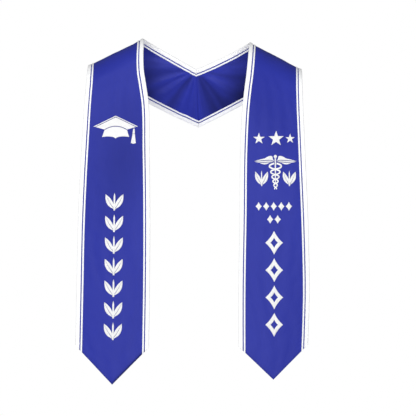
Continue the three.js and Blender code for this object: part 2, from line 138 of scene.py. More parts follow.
cloth = {
    "thickness": 1.8 * mm,
    "bindingWidth": 7.3 * mm, "lineWidth": 1.9 * mm, "stripeWidth": 3 * mm,
    "edgeInset": 1.3 * mm,  # the cloth ends inside the fold of its binding
    "flatWidth": 134 * mm,
    "flatExtra": 22 * mm,  # of length, in the seam and the turned hem
}
faceLift = cloth["thickness"] / 2
trimWidth = cloth["bindingWidth"] + cloth["lineWidth"] + cloth["stripeWidth"]


def curveThrough(rows, column, x):  # a smooth curve through rows of a table, in its first column
    i = 1
    while i < len(rows) - 1 and x > rows[i][0]:
        i += 1
    near, far = rows[i - 1], rows[i]
    before = rows[i - 2] if i > 1 else far
    after = rows[i + 1] if i + 1 < len(rows) else near
    half = (far[0] - near[0]) / 2
    first = half / (near[0] - before[0])
    second = half / (after[0] - far[0])
    p = (x - near[0]) / (far[0] - near[0])
    weights = (
        first * (-(p**3) + 2 * p * p - p),
        (1 + first) * p**3 - (1.5 + 2 * first) * p * p + (first - 0.5) * p + 1,
        -(1 + second) * p**3 + (1.5 + second) * p * p + 0.5 * p,
        second * (p**3 - p * p),
    )
    return sum(weight * row[column] for weight, row in zip(weights, (before, near, far, after)))


def bendAndLeg(travel, lean, length, legReach):  # how far down and how far out a place hangs
    radius = drape["shoulderBend"]
    foot = radius * (1 - sin(lean))
    if travel <= 1:
        angle = travel * (pi / 2 - lean)
        return radius * (1 - cos(angle)), radius * sin(angle)
    drop = lerp(foot, length, travel - 1)
    return drop, radius * cos(lean) + legReach(drop - foot)


class Band:
    # A place on a band is (u, w): u runs from the back seam at -2 over the back foot of the shoulder
    # bend at -1, its top at 0 and its front foot at 1 to the hem at 2, and w from the neck edge to the
    # outer edge. Inside the class x is measured outwards.
    def __init__(self, name):
        side = sides[name]
        self.name, self.side, self.sign = name, side, side["sign"]
        self.neckOut = drape["neckHalfWidth"] * side["neck"]
        self.neckUp = drape["neckRise"] * side["rise"]
        self.run = drape["shoulderRun"] * side["run"]
        self.hemCorner = self.neckUp - drape["panelDrop"] * side["drop"]
        self.point = drape["pointDrop"] * side["point"]
        self.hem = drape["hemWidth"] * side["hem"]
        self.sags = drape["neckSag"] * side["neckSag"], drape["collarSag"] * side["collarSag"]
        self.seed = Vector((self.sign * 3.7, 1.3, 5.1))
        rows, parts = side["edges"], 600
        self.edgeShifts = [[curveThrough(rows, n, i / parts) for i in range(parts + 1)] for n in (1, 2)]
        self.lengths = self.measure()

    def crest(self, w):
        return self.neckOut + self.run * w, self.neckUp - drape["shoulderFall"] * w

    def seam(self, w):
        return self.sign * drape["seamShift"] * w, drape["backLean"] * w, -drape["backHeight"] * w

    def hemLevel(self, w):
        return self.hemCorner + drape["hemTilt"] * w - self.point * (1 - abs(2 * w - 1))

    def fallLength(self, w):
        return self.crest(w)[1] - self.hemLevel(w)

    def edgesAt(self, fall):  # distances of the two long edges from the centre
        inner, outer = (readAt(shifts, fall) for shifts in self.edgeShifts)
        return self.neckOut - inner * self.hem, self.neckOut + self.run + outer * self.hem

    def back(self, travel, w):
        fromX, fromZ = self.crest(w)
        toX, toY, toZ = self.seam(w)
        length = hypot(toX - fromX, toZ - fromZ)
        depth = drape["napeToShoulder"] + toY
        rest = length - drape["shoulderBend"]
        lean = acos(drape["shoulderBend"] / hypot(depth, rest)) - atan2(rest, depth)
        drop, reach = bendAndLeg(travel, lean, length, lambda d: d * tan(lean))
        share = drop / length
        x = lerp(fromX, toX, share)
        z = lerp(fromZ, toZ, share) - lerp(*self.sags, w) * 4 * share * (1 - share)
        return Vector((x, reach - drape["napeToShoulder"] - self.foldAt(x, z, w), z))

    def aroundNape(self, x, z):  # angle from straight down, outwards, and distance
        seamX = self.sign * drape["seamShift"] * clamp(-z / drape["backHeight"])
        return degrees(atan2(x - seamX, -z)), hypot(x, z)

    def foldAt(self, x, z, w):
        angle, away = self.aroundNape(x, z)
        reach = drape["foldReach"]
        fade = smooth(away, 0, reach * 0.3) * (1 - smooth(away, reach * 0.6, reach))
        clearOfTrim = smooth(w, 0.1, 0.3) * (1 - smooth(w, 0.7, 0.9))
        folds = sum(height * bell((angle - at) / spread) for at, spread, height in self.side["backFolds"])
        return drape["foldHeight"] * fade * clearOfTrim * folds

    def front(self, travel, w):
        z = self.crest(w)[1]
        length = self.fallLength(w)
        slope, reach = drape["chestSlope"], drape["chestReach"]
        drop, out = bendAndLeg(
            travel, atan(slope), length, lambda d: slope * reach * (1 - (1 - min(d / reach, 1)) ** 3) / 3)
        fall = drop / length
        inner, outer = self.edgesAt(fall)
        wrap = drape["chestWrap"] * w * w * smooth(drop, 0, reach)
        y = wrap - drape["napeToShoulder"] - out - self.swellAt(fall, w)
        return Vector((lerp(inner, outer, w), y, z - drop))

    def swellAt(self, fall, w):
        swell = sum(
            height * bell((fall - at) / length) * bell((w - across) / breadth)
            for at, length, across, breadth, height in self.side["swells"]
        )
        return drape["swellHeight"] * smooth(fall, 0, 0.12) * swell

    def surface(self, u, w):
        p = self.back(-u, w) if u < 0 else self.front(u, w)
        p.x *= self.sign
        return p

    def lengthwise(self, u, w, step=0.01):
        return self.surface(min(u + step, 2), w) - self.surface(max(u - step, -2), w)

    def normal(self, u, w, step=0.01):
        across = self.surface(u, w + step) - self.surface(u, w - step)
        n = self.lengthwise(u, w).cross(across) * self.sign
        if u <= -2:
            n.x = 0
        return n.normalized()

    def width(self, u):
        row = self.surface(u, 1) - self.surface(u, 0)
        return row.cross(self.lengthwise(u, 0.5).normalized()).length

    def measure(self, parts=120):  # length along the middle, at even steps of u
        middle = [self.surface(-2 + 4 * i / parts, 0.5) for i in range(parts + 1)]
        lengths = [0.0]
        for a, b in zip(middle, middle[1:]):
            lengths.append(lengths[-1] + (b - a).length)
        return lengths

    def lengthAt(self, u):
        return readAt(self.lengths, (u + 2) / 4)

    def uAt(self, length):
        i = 0
        while i < len(self.lengths) - 2 and self.lengths[i + 1] < length:
            i += 1
        share = (length - self.lengths[i]) / (self.lengths[i + 1] - self.lengths[i])
        return clamp(-2 + 4 * (i + share) / (len(self.lengths) - 1), -2, 2)

    def relief(self, u, w):  # fine creases, along the normal
        p = self.surface(u, w)
        s = self.lengthAt(u)
        where = Vector((s, w * drape["hemWidth"], 0)) + self.seed
        width = drape["hemWidth"] if u > 0 else drape["shoulderRun"] * 1.1
        fromTrim = min(w, 1 - w) * width - trimWidth
        inField = smooth(fromTrim, *creases["fieldEdge"])
        height = 0
        if u < 0:
            angle, away = self.aroundNape(p.x * self.sign, p.z)
            fan = sin(radians(angle * creases["fanRate"]) + 2.5 * noise(where * 14))
            reach = smooth(away, *creases["fanStart"]) * (1 - smooth(away, *creases["fanEnd"]))
            height += creases["fanHeight"] * fan * reach * lerp(0.35, 1, inField)
        else:
            wander = 1.6 * noise(Vector((s * 7, 0, self.seed.x)))
            ripple = sin(turn * (w * width / creases["ripplePitch"] + wander))
            fade = smooth(u, 0.9, 1.25) * (0.55 + 0.9 * noise(where * 9))
            height += creases["rippleHeight"] * ripple * fade * lerp(0.25, 1, inField)
        buckle = noise(Vector((w * 3.1, u * 1.1, 0)) + self.seed)
        height += creases["buckleHeight"] * buckle * bell(u / 0.8) * inField
        nearTrim = bell(max(fromTrim, 0) / creases["puckerReach"])
        beat = s / creases["puckerPitch"] + 0.9 * noise(where * 30)
        strength = 0.5 + 0.9 * noise(where * 17)
        height += creases["puckerHeight"] * nearTrim * strength * sin(turn * beat)
        crumple = noise(where / creases["crumpleSize"])
        height += creases["crumpleHeight"] * crumple * lerp(0.3, 1, inField)
        return height * smooth(abs(u + 2), 0, 0.06)

    def spot(self, u, w):  # a point of the middle surface with its creases, and the normal there
        n = self.normal(u, w)
        return self.surface(u, w) + n * self.relief(u, w), n

    def onFront(self, across, level):  # (u, w) of a point of the front panel, as seen from the front
        w = 0.5
        for _ in range(4):
            top = self.crest(w)[1]
            fall = (top - level) / (top - self.hemLevel(w))
            inner, outer = self.edgesAt(fall)
            w = 0.5 + self.sign * across / (outer - inner)
        length = self.fallLength(w)
        foot = drape["shoulderBend"] * (1 - sin(atan(drape["chestSlope"])))
        return 1 + (fall * length - foot) / (length - foot), w


bands = {"left": Band("left"), "right": Band("right")}


def meshFrom(bm, name):
    mesh = bpy.data.meshes.new(name)
    bm.to_mesh(mesh)
    bm.free()
    return mesh


def added(name, data):  # a new object in the scene
    item = bpy.data.objects.new(name, data)
    scene.collection.objects.link(item)
    return item


def keep(bm, name, material):  # a finished piece from a bmesh, with its flat places as UVs
    flat = bm.verts.layers.float_vector.get("flat")
    if flat:
        uvs = bm.loops.layers.uv.new("flat")
        for face in bm.faces:
            for loop in face.loops:
                loop[uvs].uv = loop.vert[flat].xy
    bmesh.ops.recalc_face_normals(bm, faces=bm.faces)
    for face in bm.faces:
        face.smooth = True
    mesh = meshFrom(bm, name)
    mesh.materials.append(material)
    piece = added(name, mesh)
    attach(piece, "root")
    return piece


def closedSweep(rows, columns, spotAt):
    # A grid bent into a closed shell. spotAt gives the point, the flat place and the painted light or
    # shade of a corner.
    bm = bmesh.new()
    flat = bm.verts.layers.float_vector.new("flat")
    tone = bm.verts.layers.float.new("tone")
    bmesh.ops.create_grid(bm, x_segments=columns - 1, y_segments=rows - 1, size=1)
    for v in bm.verts:
        column = round((v.co.x + 1) / 2 * (columns - 1))
        row = round((v.co.y + 1) / 2 * (rows - 1))
        v.co, v[flat], v[tone] = spotAt(row, column)
    bmesh.ops.remove_doubles(bm, verts=bm.verts, dist=mergeDistance)
    openEdges = [edge for edge in bm.edges if edge.is_boundary]
    if openEdges:
        bmesh.ops.holes_fill(bm, edges=openEdges, sides=0)
    return bm


def evenPlaces(band, step):  # values of u at even steps along the band, with both ends
    count = round(band.lengths[-1] / step)
    return [-2] + [band.uAt(band.lengths[-1] * i / count) for i in range(1, count)] + [2]


# The satin: one length of cloth for each band, two skins with turned edges
satinMesh = {
    "rowStep": 2.4 * mm,
    "columns": 56,
    "hemRound": 1.6 * mm,  # length over which the turned hem thins
    "hemRows": (1.6, 1.1, 0.6, 0.25, 0.08),  # more rows there, in mm from the hem
    "seamDip": 0.52 * mm,  # how much the cloth thins at the back seam
    "seamReach": 0.035,  # of u
}


def satinSheet(band, material):
    total, m = band.lengths[-1], satinMesh["columns"]
    extra = [band.uAt(total - d * mm) for d in satinMesh["hemRows"]]
    places = sorted({*evenPlaces(band, satinMesh["rowStep"]), *extra})
    spots = {}

    def spotAt(row, column):
        u = places[row]
        j = column if column <= m else 2 * m - column
        if (row, j) not in spots:
            edge = cloth["edgeInset"] / band.width(u)
            w = lerp(edge, 1 - edge, j / m)
            spots[row, j] = (*band.spot(u, w), w, band.lengthAt(u))
        p, n, w, s = spots[row, j]
        face = 1 if column < m else -1
        toHem = clamp((total - s) / satinMesh["hemRound"])
        half = faceLift * rounding(toHem) if j not in (0, m) else 0
        half = max(half - bell((u + 2) / satinMesh["seamReach"]) * satinMesh["seamDip"], 0)
        across = (w - 0.5) * drape["hemWidth"]
        return p + n * (half * face), Vector((across * band.sign, -s, 0)), shadeAt(band, u, w, face)

    bm = closedSweep(len(places), 2 * m + 1, spotAt)
    piece = keep(bm, band.name + "Satin", material)
    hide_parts(band.name + "_collar", band.name + "_panel")
    return piece


# Bindings, folded round the long edges, and stripes beside them
tapes = {
    "rowStep": 1.7 * mm,
    "height": 1.05 * mm,  # off the face of the cloth
    "stitchInset": 0.9 * mm,  # line of stitches from a tape's edge
    "stitchDent": 0.3 * mm,
    "dentReach": 0.5 * mm,
    "edgeRound": 0.7 * mm,
    "nose": 2.0 * mm,  # depth of a binding's rounded fold
    "lining": 0.05 * mm,  # off the cloth, under a binding
    "lift": 0.1 * mm,  # off the cloth, at a tape's edge
    "ruffle": 0.12 * mm,
    "ruffleBeat": 3.1 * mm,
    # painted shade: how much darker a tape is painted at its edges, and over what reach; then the painted
    # light of a tape outside the inside of the collar
    "edgeShade": 0.42,
    "shadeReach": 2 * mm,
    "tone": 0.62,
}


def tapeRise(d, width):  # height of a soft tape across its width, with a dent along its stitches
    shoulder = clamp(min(d, width - d) / tapes["edgeRound"])
    rise = tapes["height"] * lerp(0.3, 1, rounding(shoulder))
    return rise - tapes["stitchDent"] * bell((d - tapes["stitchInset"]) / tapes["dentReach"])


def bindingSection(parts=9, steps=6):
    width = cloth["bindingWidth"]
    nose, lining, bottom = tapes["nose"], faceLift + tapes["lining"], faceLift + tapes["lift"]
    face = [lerp(0, width - nose, (i / parts) ** 1.3) for i in range(parts + 1)]
    outside = [(width - d, bottom + tapeRise(d, 2 * width)) for d in face]
    top = outside[-1][1]
    for i in range(1, steps + 1):
        angle = pi / 2 * (1 - i / steps)
        outside.append((nose * (1 - cos(angle)), top * sin(angle)))
    inside = [(width, lining), (nose * 0.75, lining), (nose / 2, 0)]
    ring = outside + [(inset, -lift) for inset, lift in reversed(outside[:-1])]
    ring += [(inset, -lift) for inset, lift in inside[:-1]] + inside[::-1]
    return ring


def stripeSection(face, parts=8):
    near = cloth["bindingWidth"] + cloth["lineWidth"]
    width = cloth["stripeWidth"]
    bottom, underside = faceLift + tapes["lift"], face * (faceLift + 0.02 * mm)
    ring = []
    for i in range(parts + 1):
        d = width * i / parts
        ring.append((near + d, face * (bottom + tapeRise(min(d, width - d), width))))
    return ring + [(near + width, underside), (near, underside)]


def tape(band, edge, ring, name, nodes, material):
    places = evenPlaces(band, tapes["rowStep"])
    widths = [band.width(u) for u in places]
    start, inwards = (0, 1) if edge == "neck" else (1, -1)
    across = [0.0]
    for a, b in neighbours(ring):
        across.append(across[-1] + hypot(a[0] - b[0], a[1] - b[1]))
    spots = {}

    def spotAt(row, column):
        inset, lift = ring[column % len(ring)]
        s = band.lengthAt(places[row])
        if (row, inset) not in spots:
            spots[row, inset] = band.spot(places[row], start + inwards * inset / widths[row])
        p, n = spots[row, inset]
        beat = s / tapes["ruffleBeat"] + noise(Vector((s * 60, start * 9, 2)))
        proud = clamp((abs(lift) - faceLift) / tapes["height"])
        lift += copysign(tapes["ruffle"] * sin(turn * beat) * proud, lift)
        # painted light and shade: a tape is painted at full light inside the collar, darker elsewhere,
        # and darker still near its edges
        insideCollar = smooth(-places[row], 0, 0.3) if lift < 0 else 0
        tone = lerp(tapes["tone"], 1, insideCollar)
        tone -= tapes["edgeShade"] * (1 - clamp(inset / tapes["shadeReach"]))
        return p + n * lift, Vector((across[column % len(ring)], -s, 0)), tone

    bm = closedSweep(len(places), len(ring) + 1, spotAt)
    piece = keep(bm, name, material)
    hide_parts(*nodes)
    return piece


# Embroidery: every figure is made of padded areas of satin stitch, drawn flat with x to the right and
# y up, and then laid on a front panel
padding = {
    "height": 1.15 * mm,  # off the cloth, where an area is widest
    "wall": 0.35 * mm,  # height at its outline
    "roll": 1.1 * mm,  # width over which it rounds up
    "rings": (0.22 * mm, 0.28 * mm, 0.34 * mm),
    "cell": 2.6 * mm,
    "gap": 0.3 * mm,  # half the line left open between areas
    "crown": 0.25 * mm,  # more height in the middle of a wide area
    "crownReach": 5 * mm,
    "clearance": 0.03 * mm,
    "cutPrecision": 1e-7,
}


def along(start, *bends, parts=8):  # a line through quadratic bends, each (control, end) or a plain end
    points = [Vector(start)]
    for bend in bends:
        if len(bend) == 2 and hasattr(bend[0], "__len__"):
            a, c, b = points[-1], Vector(bend[0]), Vector(bend[1])
            for i in range(1, parts + 1):
                t = i / parts
                points.append(a * (1 - t) ** 2 + c * 2 * t * (1 - t) + b * t * t)
        else:
            points.append(Vector(bend))
    return points


def scaled(points, width, height):
    return [Vector((x * width, y * height)) for x, y in points]


def oval(middle, halfWidth, halfHeight, corners):
    angles = [turn * i / corners for i in range(corners)]
    x, y = middle
    return [Vector((x + halfWidth * cos(a), y + halfHeight * sin(a))) for a in angles]


def toSegment(p, a, b):
    d = b - a
    t = clamp((p - a).dot(d) / max(d.dot(d), 1e-12))
    return (a + d * t - p).length, t


def threadsAt(angle):  # flat places for stitches that run at an angle, in degrees
    c, s = cos(radians(angle)), sin(radians(angle))
    return lambda p: (p.x * c + p.y * s, p.y * c - p.x * s)


def threadsAcross(line):  # for stitches square to a line
    def place(p):
        spots, travelled = [], 0
        for a, b in zip(line, line[1:]):
            away, t = toSegment(p, a, b)
            spots.append((away, travelled + t * (b - a).length))
            travelled += (b - a).length
        away, travelled = min(spots, key=lambda spot: spot[0])
        return travelled, away

    return place


def area(outlines, threads, pad=1.0, rings=1.0, waves=None):  # a padded area, flat, its height in z
    bm = bmesh.new()
    flat = bm.verts.layers.float_vector.new("flat")
    edges = []
    for outline in outlines:
        corners = [bm.verts.new((p[0], p[1], 0)) for p in outline]
        edges += [bm.edges.new(pair) for pair in neighbours(corners)]
    filled = bmesh.ops.triangle_fill(bm, use_beauty=True, edges=edges, normal=(0, 0, 1))
    faces = [g for g in filled["geom"] if isinstance(g, bmesh.types.BMFace)]
    for ring in padding["rings"]:
        bmesh.ops.inset_region(
            bm, faces=faces, thickness=ring * rings, use_even_offset=False, use_boundary=True)
    cell = padding["cell"]
    for axis in (0, 1):
        values = [v.co[axis] for v in bm.verts]
        facing = [axis == 0, axis == 1, 0]
        for place in range(floor(min(values) / cell) + 1, ceil(max(values) / cell)):
            everything = bm.verts[:] + bm.edges[:] + bm.faces[:]
            bmesh.ops.bisect_plane(bm, geom=everything, dist=padding["cutPrecision"],
                                   plane_co=[place * cell * share for share in facing], plane_no=facing)
    walls = [pair for outline in outlines for pair in neighbours(outline)]
    for v in bm.verts:
        p = Vector(v.co.xy)
        d = min(toSegment(p, a, b)[0] for a, b in walls)
        roll = rounding(clamp(d / padding["roll"]))
        height = lerp(padding["wall"], padding["height"], roll)
        height += padding["crown"] * clamp(d / padding["crownReach"])
        v.co.z = height * pad + (waves(p) if waves else 0)
        v[flat] = (*threads(p), 0)
    made = bmesh.ops.extrude_face_region(bm, geom=bm.faces[:])
    for v in made["geom"]:
        if isinstance(v, bmesh.types.BMVert):
            v.co.z = 0
    return meshFrom(bm, "area")


def embroider(name, band, areas, across, below, nodes, material):
    bm = bmesh.new()
    bm.verts.layers.float_vector.new("flat")
    for mesh in areas:
        bm.from_mesh(mesh)
        bpy.data.meshes.remove(mesh)
    spots = {}
    for v in bm.verts:
        key = (round(v.co.x, 7), round(v.co.y, 7))
        if key not in spots:
            spots[key] = band.spot(*band.onFront(across + v.co.x, v.co.y - below))
        p, n = spots[key]
        v.co = p + n * (faceLift + padding["clearance"] + v.co.z)
    piece = keep(bm, name, material)
    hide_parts(*nodes)
    return piece


cap = {
    "width": 80.6 * mm,
    "level": 106 * mm,
    "corner": (0.255, -0.076),  # where the board's edge leaves the crown, in shares of the width
    "archTop": 0.085,
    "border": 1.7 * mm,  # the raised edge of the board
    "borderGap": 0.9 * mm,
    "groove": 0.6 * mm,  # half the line between board and crown
    "knot": (0.405, -0.145),
    "knotSize": (0.03, 0.018),
    "tasselStrands": 5,
    "strandHeight": 0.22 * mm,
}


def capAreas():
    w = cap["width"]
    cx, cy = cap["corner"]
    groove = cap["groove"] / w
    arch = cap["archTop"]

    def inside(d):  # corner and apex of the board's upper edges, moved in by d
        share = d / w
        return (-0.5 + 1.459 * share, -0.4085 * share), (0, 0.24 - 1.109 * share)

    corner, apex = inside(cap["border"])
    chevron = [(-0.5, 0), (0, 0.24), (0.5, 0), (-corner[0], corner[1]), apex, corner]
    corner, apex = inside(cap["border"] + cap["borderGap"])
    board = along(corner, (-cx, cy + groove), ((0, arch + groove), (cx, cy + groove)),
                  (-corner[0], corner[1]), apex, parts=14)
    crown = along((-0.305, -0.235), ((-0.14, -0.21), (-0.045, -0.24)), (0, -0.268), (0.045, -0.24),
                  ((0.14, -0.21), (0.305, -0.235)), (cx, cy - groove),
                  ((0, arch - groove), (-cx, cy - groove)), parts=14)
    cord = along((0.392, -0.052), ((0.385, -0.1), (0.381, -0.135)), (0.4305, -0.135),
                 ((0.43, -0.1), (0.423, -0.047)))
    knot = oval(cap["knot"], *cap["knotSize"], 14)
    skirt = along((0.377, -0.165), (0.345, -0.37), ((0.403, -0.4), (0.461, -0.37)), (0.433, -0.165))

    def strands(p):  # ridges that fan out from the knot
        spread = lerp(0.028, 0.058, clamp((-p.y / w - 0.165) / 0.2))
        share = (p.x / w - cap["knot"][0]) / spread
        return cap["strandHeight"] * cos(pi * cap["tasselStrands"] * share)

    shapes = (chevron, board, crown, cord, knot, skirt)
    chevron, board, crown, cord, knot, skirt = ([scaled(shape, w, w)] for shape in shapes)
    return (
        [area(chevron, threadsAt(65), pad=1.1, rings=0.85), area(board, threadsAt(0))],
        [area(crown, threadsAt(90))],
        [
            area(cord, threadsAt(0), pad=0.9, rings=0.8),
            area(skirt, threadsAt(90), pad=0.95, waves=strands),
            area(knot, threadsAt(0), pad=1.35, rings=0.8),
        ],
    )


stars = {
    "level": 128 * mm,
    "radius": 14.5 * mm,
    "waist": 0.4,
    "places": [("Left", -1.77, 0.75), ("Middle", 0.35, 1), ("Right", 2.08, 0.62)],  # across, size
}


def starAreas(radius):
    points = []
    for i in range(10):
        r = radius * (stars["waist"] if i % 2 else 1)
        angle = pi / 2 + i * pi / 5
        points.append(Vector((r * cos(angle), r * sin(angle))))
    return [area([points], threadsAt(90), pad=1.15)]


sprays = {
    "width": 32 * mm,
    "height": 32 * mm,
    "pitch": 38.8 * mm,
    "count": 7,
    "level": 241 * mm,
    "belly": 0.42,  # of a leaf's length, on its outer side
    "threadTurn": 32,  # degrees from the vein
    "tips": 0.42,  # of the height, up and down
    "stemWidth": 0.05,
    "stemShoulder": 0.3,
}


def leafHalves(foot, tip, belly):  # a leaf in two areas, open along its vein
    d = tip - foot
    side = Vector((-d.y, d.x))
    gap = side.normalized() * copysign(padding["gap"], belly)
    middle = foot + d * 0.45
    vein = middle + side * belly * 0.2
    outer = along(foot + gap, (middle + side * belly, tip), (vein + gap, foot + gap))
    inner = along(foot - gap, (vein - gap, tip), (middle - side * belly * 0.6, foot - gap))
    slope = degrees(atan2(d.y, d.x))
    lean = copysign(sprays["threadTurn"], belly)
    halves = (outer[:-1], slope + lean), (inner[:-1], slope - lean)
    return [area([outline], threadsAt(angle), rings=0.8) for outline, angle in halves]


def sprayAreas(width, height):
    tips, shoulder = height * sprays["tips"], height * sprays["stemShoulder"]
    stem = width * sprays["stemWidth"]
    end = height / 2
    stalk = [(-stem, -end), (stem, -end), (stem, shoulder), (0, end), (-stem, shoulder)]
    areas = []
    for sign in (-1, 1):
        areas += leafHalves(Vector((0, -tips)), Vector((sign * width / 2, tips)), -sign * sprays["belly"])
    return areas + [area([along(*stalk)], threadsAt(90), pad=1.25, rings=0.7)]


lozenges = {
    "waist": 0.19,
    "width": 32 * mm,
    "height": 43 * mm,
    "pitch": 49.1 * mm,
    "count": 4,
    "level": 315 * mm,
    "hole": 0.42,
    "smallPitch": 13.6 * mm, "smallWidth": 0.85,  # of their pitch
    "smallHeight": 16 * mm, "smallLevel": 249.5 * mm,
    "smallRowPitch": 23.4 * mm, "smallRows": (5, 2),
}


def lozengeOutline(width, height):
    x, y = width / 2, height / 2
    bow = lozenges["waist"] * 2
    corners = [(0, -y), (x, 0), (0, y), (-x, 0)]
    bends = [(1, -1), (1, 1), (-1, 1), (-1, -1)]
    arcs = [((x * a * bow, y * b * bow), end) for (a, b), end in zip(bends, corners[1:] + corners[:1])]
    return along(corners[0], *arcs)[:-1]


staff = {
    "height": 62 * mm,
    "span": 77 * mm,
    "level": 188 * mm,
    "across": 0.05,  # of the wings' span
    "turnsDown": (1.85, 0.93),
    "serpentTop": 0.261,  # of the height
    "serpentStart": 0.012,
    "swing": (0.19, 0.025),  # of the height, at the top and at the bottom
    "knob": (0.45, 0.048),  # level and radius, of the height
    "bodyWidth": (0.05, 0.032),  # of the height
    "weave": 0.4 * mm,  # how far the serpents rise and dip where they cross
    "sideHeight": 28 * mm, "sideShape": 0.8,  # the shape is the width of a side spray, of its height
    "sideOut": 25 * mm, "sideDrop": 11 * mm,
}


def ribbon(points, startWidth, endWidth):
    last = len(points) - 1
    there, back = [], []
    for i, p in enumerate(points):
        d = (points[min(i + 1, last)] - points[max(i - 1, 0)]).normalized()
        half = Vector((-d.y, d.x)) * lerp(startWidth, endWidth, i / last) / 2
        there.append(p - half)
        back.append(p + half)
    return there + back[::-1]


def serpentPhase(down):
    return turn * (staff["turnsDown"][0] * down + staff["turnsDown"][1] * down**2)


def staffAreas():
    h, span, top = staff["height"], staff["span"], staff["serpentTop"]
    wing = [  # coverts, long feathers and short feathers, in shares of the span and the height
        along((0.012, 0.315), ((0.06, 0.34), (0.068, 0.45)), ((0.12, 0.51), (0.25, 0.395)),
              ((0.36, 0.37), (0.5, 0.315)), ((0.4, 0.324), (0.3, 0.34)), ((0.18, 0.352), (0.105, 0.352))),
        along((0.03, 0.303), (0.105, 0.336), ((0.18, 0.334), (0.3, 0.322)), ((0.4, 0.312), (0.48, 0.305)),
              ((0.46, 0.285), (0.375, 0.276)), ((0.25, 0.29), (0.15, 0.298))),
        along((0.045, 0.29), (0.15, 0.283), ((0.25, 0.273), (0.362, 0.26)), ((0.33, 0.235), (0.26, 0.22)),
              ((0.19, 0.225), (0.145, 0.268))),
    ]
    rod = along((-0.02, 0.43), (-0.016, -0.3), (0, -0.36), (0.016, -0.3), (0.02, 0.43))
    areas = [area([scaled(rod, h, h)], threadsAt(0), pad=0.75, rings=0.6)]
    for shape, slope, pad in zip(wing, (60, 75, 80), (1.15, 1.0, 0.9)):
        outline = scaled(shape, span, h)
        areas.append(area([outline], threadsAt(slope), pad=pad, rings=0.6))
        areas.append(area([scaled(outline, -1, 1)[::-1]], threadsAt(180 - slope), pad=pad, rings=0.6))
    for sign in (-1, 1):
        line, parts = [], 64
        for i in range(parts + 1):
            down = lerp(staff["serpentStart"], 1, i / parts)
            phase = serpentPhase(down)
            swing = lerp(*staff["swing"], down) * h
            sideways = 1.06 * sin(phase) + 0.06 * sin(3 * phase)
            line.append(Vector((sign * swing * sideways, lerp(top, -0.5, down) * h)))
        body = ribbon(line, staff["bodyWidth"][0] * h, staff["bodyWidth"][1] * h)

        def weave(p, sign=sign):
            down = (top - p.y / h) / (top + 0.5)
            over = 1 + sign * cos(serpentPhase(down))
            return staff["weave"] * over * smooth(1 - down, 0.02, 0.3)

        areas.append(area([body], threadsAcross(line), pad=0.9, rings=0.55, waves=weave))
    level, radius = staff["knob"]
    knob = oval((0, level * h), radius * h, radius * h, 24)
    return areas + [area([knob], threadsAt(0), pad=1.3, rings=0.8)]


def addEmblems(material):
    pieces = {"left": [], "right": []}

    def sew(side, name, areas, across, below):  # leafSpray1 stands for the node leaf_spray_1
        node = "".join("_" + c.lower() if c.isupper() or c.isdigit() else c for c in name)
        nodes = [node.replace("x_", "_")]
        pieces[side].append(embroider(name, bands[side], areas, across, below, nodes, material))

    for name, areas in zip(("capBoard", "capCrown", "capTassel"), capAreas()):
        sew("left", name, areas, 0, cap["level"])
    for i in range(sprays["count"]):
        areas = sprayAreas(sprays["width"], sprays["height"])
        sew("left", f"leafSpray{i + 1}", areas, 0, sprays["level"] + i * sprays["pitch"])
    print("left panel embroidered")
    for name, across, size in stars["places"]:
        areas = starAreas(stars["radius"] * size)
        sew("right", "star" + name, areas, across * stars["radius"], stars["level"])
    middle = staff["across"] * staff["span"]
    sew("right", "wingedStaff", staffAreas(), middle, staff["level"])
    for name, sign in (("Left", -1), ("Right", 1)):
        areas = sprayAreas(staff["sideHeight"] * staff["sideShape"], staff["sideHeight"])
        across, below = middle + sign * staff["sideOut"], staff["level"] + staff["sideDrop"]
        sew("right", "sideSpray" + name, areas, across, below)
    pitch = lozenges["smallPitch"]
    for row, count in enumerate(lozenges["smallRows"]):
        for i in range(count):
            outline = lozengeOutline(pitch * lozenges["smallWidth"], lozenges["smallHeight"])
            areas = [area([outline], threadsAt(90), rings=0.7)]
            below = lozenges["smallLevel"] + row * lozenges["smallRowPitch"]
            sew("right", f"smallLozenge{row + 1}x{i + 1}", areas, (i - (count - 1) / 2) * pitch, below)
    width, height, hole = lozenges["width"], lozenges["height"], lozenges["hole"]
    for i in range(lozenges["count"]):
        outlines = [lozengeOutline(width, height), lozengeOutline(width * hole, height * hole)]
        areas = [area(outlines, threadsAt(90))]
        sew("right", f"lozenge{i + 1}", areas, 0, lozenges["level"] + i * lozenges["pitch"])
    print("right panel embroidered")
    return pieces


# Lines of machine stitches, each a small rounded loop of thread lying in its seam
stitches = {
    "pitch": 3.1 * mm,
    "length": 2.4 * mm,
    "thread": 0.45 * mm,
    "hemInset": 6.875 * mm,  # down the panel
    "seamInset": 0.052,  # of u
    "seamReach": (0.13, 0.87),  # of the width
    "tapeEnds": (0.002, 0.997),  # of the length
    "sink": 0.08 * mm,
}


def seamLine(bm, band, placeAt, total, lift):  # stitches along a line that is given by its length
    count = int(total / stitches["pitch"])
    half, reach = stitches["thread"] / 2, stitches["length"] / 2
    for i in range(count):
        middle = (i + 0.5) / count
        a, n = band.spot(*placeAt(middle - reach / total))
        b, _ = band.spot(*placeAt(middle + reach / total))
        forward = (b - a).normalized()
        side = forward.cross(n).normalized()
        columns = (forward * reach, side * half, side.cross(forward) * half, (a + b) / 2 + n * lift)
        matrix = Matrix([[column[row] for column in columns] for row in range(3)] + [[0, 0, 0, 1]])
        bmesh.ops.create_icosphere(bm, subdivisions=1, radius=1, matrix=matrix)


def tapeStitches(band, material):
    bm = bmesh.new()
    total = band.lengths[-1]
    near = cloth["bindingWidth"] + cloth["lineWidth"]
    inset = tapes["stitchInset"]
    inner = inset * 0.6
    lines = [cloth["bindingWidth"] - inset, near + inner, near + cloth["stripeWidth"] - inner]
    for share, inwards in ((0, 1), (1, -1)):
        for face in (1, -1):
            for line in lines:

                def placeAt(x):
                    u = band.uAt(total * clamp(x, *stitches["tapeEnds"]))
                    return u, share + inwards * line / band.width(u)

                seamLine(bm, band, placeAt, total, face * (faceLift + tapes["height"] - stitches["sink"]))
    piece = keep(bm, band.name + "TapeStitches", material)
    return piece


